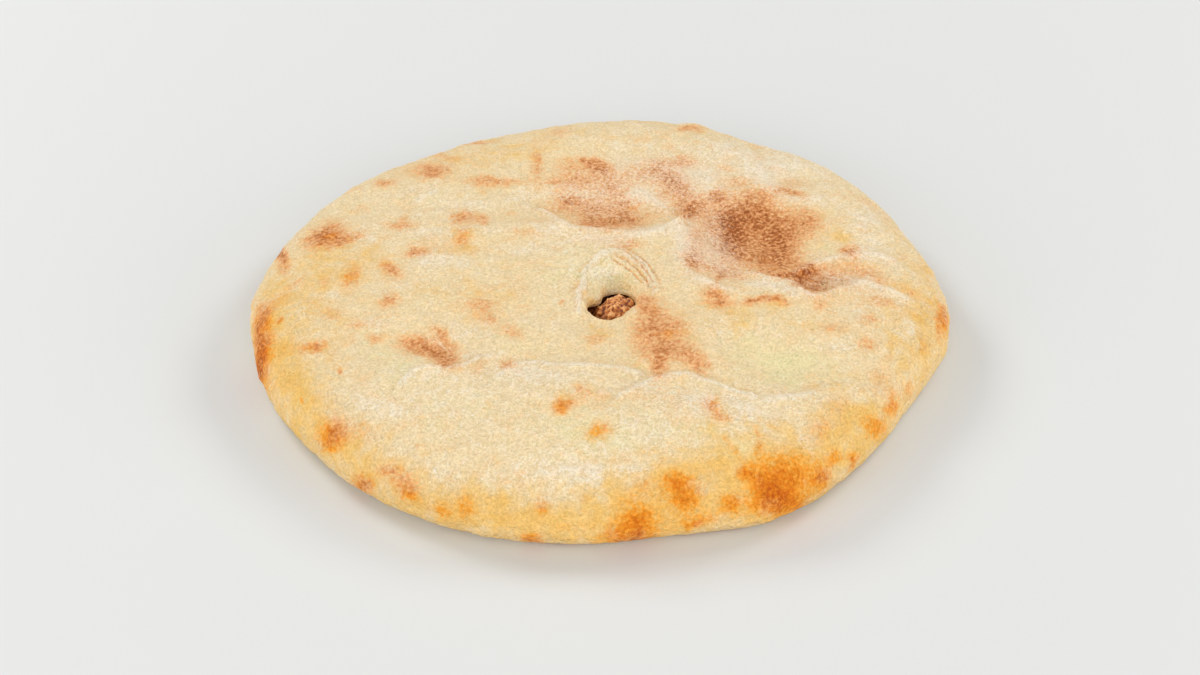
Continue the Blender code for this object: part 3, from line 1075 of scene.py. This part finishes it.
# Each layer's colour and how it is laid on, the value that it follows, how much other values add to that,
# where it starts and is full, and how much it covers at most
LAYERS = (
    (linear(GOLD), "MIX", "gilded", {"lumps": 0.10}, 0.0, 1.0, 1.0),
    (linear(RAW), "MIX", "pale", {"lumps": -0.10}, 0.05, 1.0, 1.0),
    (linear(TOASTED), "MIX", "browned", {"lumps": 0.06}, 0.0, 0.5, 0.8),
    (crusty, "MIX", "freckled", {}, 0.0, 0.48, 1.0),
    # Flour, and the painted light on the vent's funnel wall
    (flour, "MIX", "flour_and_painted_light", powdered, 0.0, 1.0, 0.80),
    (linear(PIT), "MULTIPLY", "grain", pitted, 1.3, -1.1, 0.6),
)

dough = linear(CREAM)
for colour, laid, follows, helpers, start, full, most in LAYERS:
    amount = read[follows]
    for name, strength in helpers.items():
        added = {0: read[name], 1: strength, 2: amount}
        amount = add(tree, "Math", added, operation="MULTIPLY_ADD")
    levels = {0: amount, 1: start, 2: full, 4: most}
    amount = add(tree, "MapRange", levels, interpolation_type="SMOOTHSTEP")
    laid_on = {0: amount, 6: dough, 7: colour}
    dough = add(tree, "Mix", laid_on, output=2, data_type="RGBA", blend_type=laid)
print("The dough's colour has", len(LAYERS), "layers")

# %% Surface of the dough
SKIN_RELIEF = 0.50 * MM
SKIN = (("grain", 0.5), ("powder", 0.35))

skin = read["lumps"]
for name, strength in SKIN:
    skin = add(tree, "Math", {0: read[name], 1: strength, 2: skin}, operation="MULTIPLY_ADD")
relief = add(tree, "Bump", {"Height": skin, "Distance": SKIN_RELIEF, "Strength": 0.8})
tree.links.new(dough, shader.inputs["Base Color"])
tree.links.new(relief, shader.inputs["Normal"])
shader.inputs["Roughness"].default_value = 0.78
shader.inputs["IOR"].default_value = 1.45
shader.inputs["Specular IOR Level"].default_value = 0.28
shader.inputs["Subsurface Weight"].default_value = 0.12
shader.inputs["Subsurface Radius"].default_value = (1.0, 0.6, 0.3)
shader.inputs["Subsurface Scale"].default_value = 2.0 * MM
crust.data.materials.append(material)
print("Baked dough:", len(tree.nodes), "nodes")

# %% [markdown]
# ## The mince
#
# Cooked mince is a loose pile of short, crooked crumbs that stick together. A few crumbs are shaped once
# from icospheres. Copies of them, turned and sized at random, are strewn over the filling where it shows in
# the vent, and a voxel remesh fuses the pile into one skin, whose gaps between the crumbs get painted
# shade.

# %% Crumb shapes
CRUMB_KINDS = 5
CRUMB_LUMP = 0.50  # size of a crumb's own lumps, over its radius
CRUMB_UNEVEN = 0.42  # how far they stand out
CRUMB_LONG = 1.35
CRUMB_FLAT = 0.8


def crumb_shape(kind):
    bpy.ops.object.select_all(action="DESELECT")
    bpy.ops.mesh.primitive_ico_sphere_add(subdivisions=3, radius=1.0, location=(0.0, 0.0, 0.0))
    crumb = bpy.context.object
    for vertex in crumb.data.vertices:
        out = noise.fractal(vertex.co / CRUMB_LUMP + Vector((kind * 9.0, 0.0, 0.0)), 0.7, 2.0, 2)
        vertex.co *= 1.0 + CRUMB_UNEVEN * out
        vertex.co.x *= CRUMB_LONG
        vertex.co.z *= CRUMB_FLAT
    return crumb


crumbs = [crumb_shape(kind) for kind in range(CRUMB_KINDS)]
print("A crumb has", len(crumbs[0].data.polygons), "faces")

# %% Strew the crumbs in the vent
HEAP_MIDDLE = Vector((5.2 * MM, -15.0 * MM))
HEAP_HALF_WIDTH = 6.0 * MM
HEAP_HALF_LENGTH = 6.6 * MM
HEAP_TOP = Vector((6.0 * MM, -15.6 * MM))
HEAP_TOP_HEIGHT = 26.0 * MM
HEAP_FALL = 0.13 / MM  # how fast the heap falls away from its top
CRUMB_COUNT = 44
CRUMB_SIZES = (1.1 * MM, 2.7 * MM)  # smallest and largest radius
CRUMB_COMMON = 1.3  # the commonest radius, over the smallest
CRUMB_SUNK = (0.6, 1.5)  # least and most that a crumb sinks in, over its radius
GOLDEN_ANGLE = math.radians(137.508)

chance = random.Random(7)
pile = []
for i in range(CRUMB_COUNT):
    share = math.sqrt((i + 0.5) / CRUMB_COUNT)
    angle = i * GOLDEN_ANGLE
    x = HEAP_MIDDLE.x + HEAP_HALF_WIDTH * share * math.cos(angle)
    y = HEAP_MIDDLE.y + HEAP_HALF_LENGTH * share * math.sin(angle)
    size = chance.triangular(*CRUMB_SIZES, CRUMB_SIZES[0] * CRUMB_COMMON)
    fall = (Vector((x, y)) - HEAP_TOP).length_squared * HEAP_FALL
    crumb = chance.choice(crumbs).copy()
    crumb.data = crumb.data.copy()
    bpy.context.scene.collection.objects.link(crumb)
    crumb.scale = (size, size, size)
    crumb.rotation_euler = [chance.uniform(0.0, 2 * math.pi) for _ in range(3)]
    crumb.location = (x, y, HEAP_TOP_HEIGHT - fall - size * chance.uniform(*CRUMB_SUNK))
    pile.append(crumb)
for crumb in crumbs:
    bpy.data.objects.remove(crumb, do_unlink=True)
print("Strewn:", len(pile), "crumbs")

# %% Fuse them into one heap
HEAP_FLOOR = 18.0 * MM
HEAP_BODY = 0.9  # the solid mound under the crumbs, over the whole heap
HEAP_BODY_HEIGHT = 4.0 * MM
HEAP_VOXEL = 0.26 * MM

bpy.ops.object.select_all(action="DESELECT")
bpy.ops.mesh.primitive_uv_sphere_add(segments=40, ring_count=20, radius=1.0, location=(0.0, 0.0, 0.0))
heap = bpy.context.object
heap.name = "mince_heap"
heap.scale = (HEAP_HALF_WIDTH * HEAP_BODY, HEAP_HALF_LENGTH * HEAP_BODY, HEAP_BODY_HEIGHT)
heap.location = (*HEAP_MIDDLE, HEAP_FLOOR)
for crumb in pile:
    crumb.select_set(True)
heap.select_set(True)
bpy.context.view_layer.objects.active = heap
bpy.ops.object.transform_apply(location=True, rotation=True, scale=True)
bpy.ops.object.join()
apply_modifier(heap, "REMESH", mode="VOXEL", voxel_size=HEAP_VOXEL, use_smooth_shade=True)
apply_modifier(heap, "SMOOTH", factor=0.5, iterations=1)
print("The heap has", len(heap.data.polygons), "faces")

# %% Depth of the gaps between the crumbs, for their painted shade
# The gaps' depth is kept for the mince's material, which paints shade into them by it
GAP_SMOOTHINGS = 24  # rounds that close the gaps up
FULL_SHADE_GAP = 0.6 * MM  # a gap this deep is as dark as any

gaps = deepness(heap, GAP_SMOOTHINGS)
mark(heap, "deep", np.clip(gaps / FULL_SHADE_GAP, -1.0, 1.0))
print("The heap's gaps are up to", round(gaps.max() / MM, 2), "mm deep")

# %% [markdown]
# ## The filling under the crust
#
# Only the heap shows, but the filling runs through the bread. Its disc is the solid's own shape, rounded,
# with the bumps of packed mince on it. Then heap and disc are both pressed clear of the dough: a point that
# lies in it is moved out along the nearest face's normal, as real mince gives way to the dough around it.

# %% Filling disc
VENT_CLEARS = 14.0 * MM  # within this of the vent the disc stays under the heap, in the dark
VENT_FLOOR = 16.5 * MM
PACKED_DEPTH = 0.35 * MM
PACKED_SIZE = 4.0 * MM

filling = merged_copy("filling", "mince_filling")
apply_modifier(filling, "SUBSURF", levels=1, render_levels=1)
points = points_of(filling)
normals = normals_of(filling)
in_vent = np.hypot(points[:, 0] - THROAT.x, points[:, 1] - THROAT.y) < VENT_CLEARS
points[in_vent, 2] = np.minimum(points[in_vent, 2], VENT_FLOOR)
packed = -PACKED_DEPTH * np.abs(noise_at(points, PACKED_SIZE, 31.0))
move_points(filling, points + normals * packed[:, None])
# The dents' depth goes to the mince's material, which paints shade into them
mark(filling, "deep", -packed / PACKED_DEPTH)
filling.data.shade_smooth()
for piece in (heap, filling):
    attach(piece, "root")
    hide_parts("filling")
    print(piece.name, "has", len(piece.data.polygons), "faces")

# %% Keep the mince clear of the dough
HEAP_CLEARS = 0.1 * MM
FILLING_CLEARS = 0.3 * MM  # more, because its facets and the hollow's are wide
PRESS_ROUNDS = 3


def press_clear(piece, dough, clear):
    """Moves each point that lies in the dough, or nearer to it than clear, out of the dough's surface."""
    for _ in range(PRESS_ROUNDS):
        points = points_of(piece)
        pressed = 0
        for i, point in enumerate(points):
            nearest, out = dough.find_nearest(Vector(point))[:2]
            gap = (Vector(point) - nearest).dot(out)
            if gap < clear:
                points[i] += np.array(out) * (clear - gap)
                pressed += 1
        move_points(piece, points)
    print(piece.name, "had", pressed, "points to press clear in the last round")


dough_surface = surface_of(crust)
press_clear(heap, dough_surface, HEAP_CLEARS)
press_clear(filling, dough_surface, FILLING_CLEARS)

# %% [markdown]
# ## Cooked mince
#
# Fried beef and pork: light brown and pinkish where it stays moist, darker where fat and spice settled,
# with painted shade in its gaps. It is moist, so it has a soft gloss.

# %% Cooked mince
# Where each colour stands between the lightest mince and the darkest painted shade in a gap
MEAT_AND_GAP_SHADE = ((0.3, "#F4BE82"), (1.0, "#3C1604"), (0.46, "#E09C5A"), (0.62, "#B86C32"), (0.78, "#7A3812"))
MINCE_GRAIN = 1.6 * MM
MINCE_FIBRE = 0.5 * MM
FIBRE_RELIEF = 0.15 * MM
# How much painted shade the gaps get by their depth, and how much the fibres darken the mince's own tone
GAP_PAINTED_SHADE = 0.36
FIBRES_DARKEN = 0.22

material, tree, shader = new_material("cooked_minced_meat")
place = add(tree, "TexCoord", output="Object")
deep = add(tree, "Attribute", output="Fac", attribute_name="deep")
tone_and_gap_shade = add(tree, "TexNoise", {"Vector": place, "Scale": 1 / MINCE_GRAIN, "Detail": 2.0})
fibre = add(tree, "TexNoise", {"Vector": place, "Scale": 1 / MINCE_FIBRE, "Detail": 2.0})
# Painted shade in the gaps, by their depth, and the fibres' own darker tone
for value, strength in ((deep, GAP_PAINTED_SHADE), (fibre, FIBRES_DARKEN)):
    tone_and_gap_shade = add(tree, "Math", {0: value, 1: strength, 2: tone_and_gap_shade}, operation="MULTIPLY_ADD")
meat = add(tree, "ValToRGB", {0: tone_and_gap_shade}, MEAT_AND_GAP_SHADE)
relief = add(tree, "Bump", {"Height": fibre, "Distance": FIBRE_RELIEF, "Strength": 0.6})
tree.links.new(meat, shader.inputs["Base Color"])
tree.links.new(relief, shader.inputs["Normal"])
shader.inputs["Roughness"].default_value = 0.5
shader.inputs["IOR"].default_value = 1.45
shader.inputs["Subsurface Weight"].default_value = 0.1
shader.inputs["Subsurface Radius"].default_value = (1.0, 0.35, 0.2)
shader.inputs["Subsurface Scale"].default_value = 1.5 * MM
heap.data.materials.append(material)
filling.data.materials.append(material)
print("Cooked mince:", len(tree.nodes), "nodes")

# %% [markdown]
# ## Floor, light and view
#
# A plain pale floor stands in for the table. The light is a studio's: a bright room, two large soft lights
# behind the bread, and three low soft ones in front that reach under its rim, so shadows stay faint.

# %% Floor
FLOOR_WIDTH = 8.0
FLOOR_COLOUR = "#DBDCDA"

bpy.ops.object.select_all(action="DESELECT")
bpy.ops.mesh.primitive_plane_add(size=FLOOR_WIDTH, location=(0.0, 0.0, 0.0))
floor = bpy.context.object
floor.name = "floor"
material, tree, shader = new_material("pale_matte_floor")
shader.inputs["Base Color"].default_value = linear(FLOOR_COLOUR)
shader.inputs["Roughness"].default_value = 0.6
floor.data.materials.append(material)

# %% Light
ROOM_LIGHT = 0.45


def soft_light(name, place, size, power):
    """A round lamp of this width in metres and power in watts, turned to the bread."""
    bpy.ops.object.light_add(type="AREA", location=place)
    lamp = bpy.context.object
    lamp.name = name
    lamp.data.shape = "DISK"
    lamp.data.size = size
    lamp.data.energy = power
    lamp.rotation_euler = (-Vector(place)).to_track_quat("-Z", "Y").to_euler()


soft_light("back_left", (-0.8, 0.7, 0.8), 0.5, 6.4)
soft_light("back_right", (0.9, 0.6, 0.8), 0.5, 5.1)
soft_light("front", (0.0, -1.4, 0.75), 0.9, 7.4)
soft_light("front_left", (-1.1, -0.9, 0.5), 0.8, 6.2)
soft_light("front_right", (1.25, -0.65, 0.45), 0.8, 6.3)

world = bpy.data.worlds.new("studio")
world.use_nodes = True
world.node_tree.nodes["Background"].inputs["Color"].default_value = linear("#FFFFFF")
world.node_tree.nodes["Background"].inputs["Strength"].default_value = ROOM_LIGHT
bpy.context.scene.world = world
bpy.context.scene.view_settings.view_transform = "Standard"
